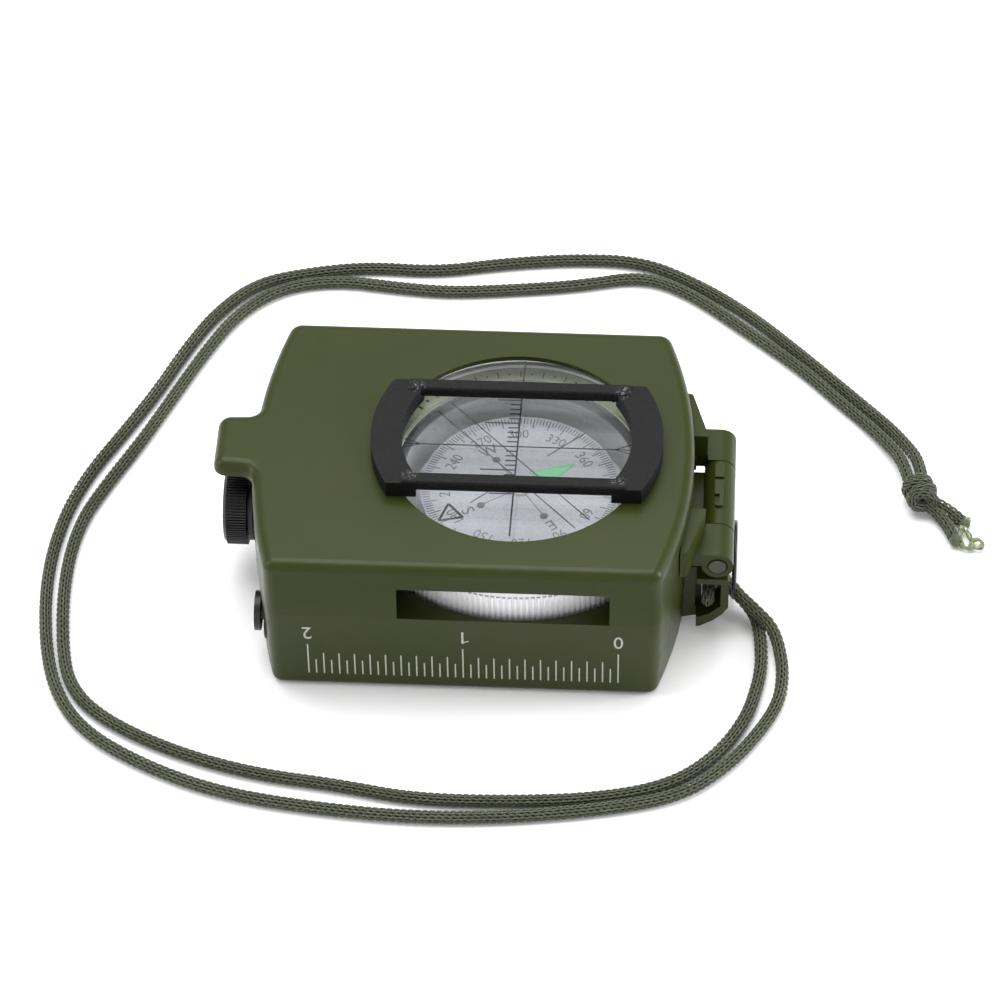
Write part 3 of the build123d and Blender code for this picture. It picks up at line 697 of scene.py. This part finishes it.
def print_scale_ring():
    """Ticks every ten degrees with a dot halfway between, one of each in nine bolder."""
    first_tick, tick_inner, tick_outer, dots_at = 2.4, 21.3, 22.7, 22.0
    fine, bold_tick, bold_dot = 0.17, 0.34, 0.30
    marks = Print(on_disc(DIAL, top_of("scale_ring")))
    for i in range(36):
        turn = first_tick + 10 * i
        marks.line(polar(tick_inner, turn), polar(tick_outer, turn), bold_tick if i % 9 == 5 else fine)
        marks.dot(polar(dots_at, turn + 5), bold_dot if i % 9 == 4 else fine)
    marks.piece("dial_ring_marks", "bezel", "luminous_ring", INK_BLACK)


def print_capsule_lines():
    """The pair of north lines on the crystal, the cross line and the index arrow at its end."""
    north = 132.7
    pair_offset, pair_start, pair_end, pair_wide = 1.49, -15.9, 19.6, 0.21
    cross_at, cross_start, cross_end, cross_gap, cross_wide = -0.3, -10.9, 13.9, 5.6, 0.20
    arrow_corners = [(-2.1, -13.9), (1.8, -13.8), (-0.1, -17.4)]
    arrow_wide = 0.40
    marks = Print(on_disc(DIAL, top_of("capsule_crystal")))
    along, across = Vector(polar(1, north)), Vector(polar(1, north - 90))

    def at(a, c):
        return tuple(a * along + c * across)

    for side in (-pair_offset, pair_offset):
        marks.line(at(pair_start, side), at(pair_end, side), pair_wide)
    marks.line(at(cross_at, cross_start), at(cross_at, -cross_gap), cross_wide)
    marks.line(at(cross_at, cross_gap), at(cross_at, cross_end), cross_wide)
    for i in range(3):
        marks.line(at(*arrow_corners[i]), at(*arrow_corners[(i + 1) % 3]), arrow_wide)
    marks.piece("capsule_lines", "bezel", "clear_glass", INK_BLACK)


# where the card's north points, in degrees from +X
NORTH = 34.0


def print_card():
    """Degree ring with figures every thirty degrees, the lettered dots and the north arrow."""
    tick_outer, tick_inner, tick_wide = 16.25, 15.0, 0.17
    ten_inner, ten_wide = 14.0, 0.20
    figures_at, figure_tall, figure_squeeze = 12.4, 1.85, 0.9
    letters_at, letter_tall = 9.9, 2.2
    stem_start, stem_end, stem_wide = 1.7, 7.2, 0.14
    dot_at, dot_radius = 7.6, 0.68
    arrow_thick, rim_thick, rim_wide = 0.05, 0.04, 0.12
    top = top_of("compass_card")
    marks = Print(on_disc(CARD, top))
    for i in range(180):
        turn = NORTH + 2 * i
        inner = ten_inner if i % 5 == 0 else tick_inner
        marks.line(polar(inner, turn), polar(tick_outer, turn), ten_wide if i % 5 == 0 else tick_wide)
    for i in range(12):
        turn = NORTH - 30 * i
        marks.text(str(30 * i or 360), polar(figures_at, turn), figure_tall, turn, figure_squeeze)
    for letter, bearing in (("E", 90), ("S", 180), ("W", 270)):
        turn = NORTH - bearing
        marks.text(letter, polar(letters_at, turn), letter_tall, turn)
        marks.line(polar(stem_start, turn), polar(stem_end, turn), stem_wide)
        marks.dot(polar(dot_at, turn), dot_radius)
    marks.piece("card_figures", "card", "card", INK_GREY)
    arrow = Print(on_disc(CARD, top), arrow_thick)
    corners = [polar(10.6, 0), (3.2, 2.3), (3.9, 0.0), (3.2, -2.3)]
    turn = math.radians(NORTH)
    corners = [(x * math.cos(turn) - y * math.sin(turn), x * math.sin(turn) + y * math.cos(turn))
               for x, y in corners]
    arrow.polygon([corners[0], corners[1], corners[2]])
    arrow.polygon([corners[0], corners[2], corners[3]])
    arrow.piece("card_north_arrow", "card", "card", INK_GREEN)
    rim = Print(on_disc(CARD, top), rim_thick)
    for start, end in ((3, 0), (0, 1), (1, 2), (2, 3)):
        rim.line(corners[start], corners[end], rim_wide)
    rim.piece("card_arrow_outline", "card", "card", INK_GREY)


def print_window():
    """Hairlines on the lid's glass: a sight line with its scale, and a cross line with forked ends."""
    shift, off_middle = 0.77, 0.03
    sight_half, sight_wide = 20.2, 0.27
    cross, cross_left, cross_right, cross_wide = 0.15, -15.9, 16.2, 0.23
    fork_from, fork_to, fork_wide, fork_ends = 16.0, 18.7, 0.20, (1.25, 0.15, -0.75)
    tick_pitch, tick_wide, tick_long, longer_ticks = 1.08, 0.24, 1.8, {5: 5.8, 10: 4.0}
    marks = Print(on_disc((WINDOW[0], WINDOW[1] + shift), top_of("lid_window")))
    lean = math.tan(math.radians(0.92))

    def at(v):
        return off_middle + v * lean

    marks.line((at(sight_half), sight_half), (at(-sight_half), -sight_half), sight_wide)
    marks.line((cross_left, cross), (cross_right, cross), cross_wide)
    for side in (-1, 1):
        for end in fork_ends:
            marks.line((side * fork_from, cross), (side * fork_to, end), fork_wide)
    for i in range(-10, 11):
        if i:
            v = cross + tick_pitch * i
            long = longer_ticks.get(abs(i), tick_long)
            marks.line((at(v) - long, v), (at(v), v), tick_wide)
    marks.piece("window_hairlines", "lid", "clear_glass", INK_BLACK)


def print_ruler():
    """Two inches in twentieths on the ruled side, figured to be read from over the lid."""
    taper = math.tan(math.radians(2.0))
    edge, split_z = -28.4, 17.4
    marks = Print(lambda u, v, lift: (u, edge + (split_z - v) * taper - lift, v))
    zero, inch, foot, ink_wide = 24.6, 25.4, 3.1, 0.22
    inch_tall, tenth_tall, twentieth_tall = 7.2, 5.1, 3.4
    figures_at, figure_tall, figure_squeeze = 13.3, 2.9, 0.85
    serif_low, serif_high, serif_long = 11.95, 12.35, 0.95
    for i in range(41):
        x = zero - inch * i / 20
        tall = inch_tall if i % 20 == 0 else tenth_tall if i % 2 == 0 else twentieth_tall
        marks.line((x, foot), (x, foot + tall), ink_wide)
    for i in range(3):
        marks.text(str(i), (zero - inch * i, figures_at), figure_tall, -90, figure_squeeze)
    marks.line((zero - inch, serif_low), (zero - inch + serif_long, serif_high), ink_wide)
    marks.piece("ruler_marks", "base", "case_paint", INK_WHITE)


def level_details():
    """The ring that the round level is read against."""
    radius, sides, ink_wide = 1.7, 48, 0.16
    pitch = 360 / sides
    low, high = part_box("level_vial")
    centre = [(a + b) / 2 / MM for a, b in zip(low, high)]
    ring = Print(on_disc(centre, high.z / MM))
    for i in range(sides):
        ring.line(polar(radius, pitch * i), polar(radius, pitch * (i + 1)), ink_wide)
    ring.piece("level_ring", "base", "clear_glass", INK_BLACK)


print_scale_ring()
print_capsule_lines()
print_card()
print_window()
print_ruler()
level_details()
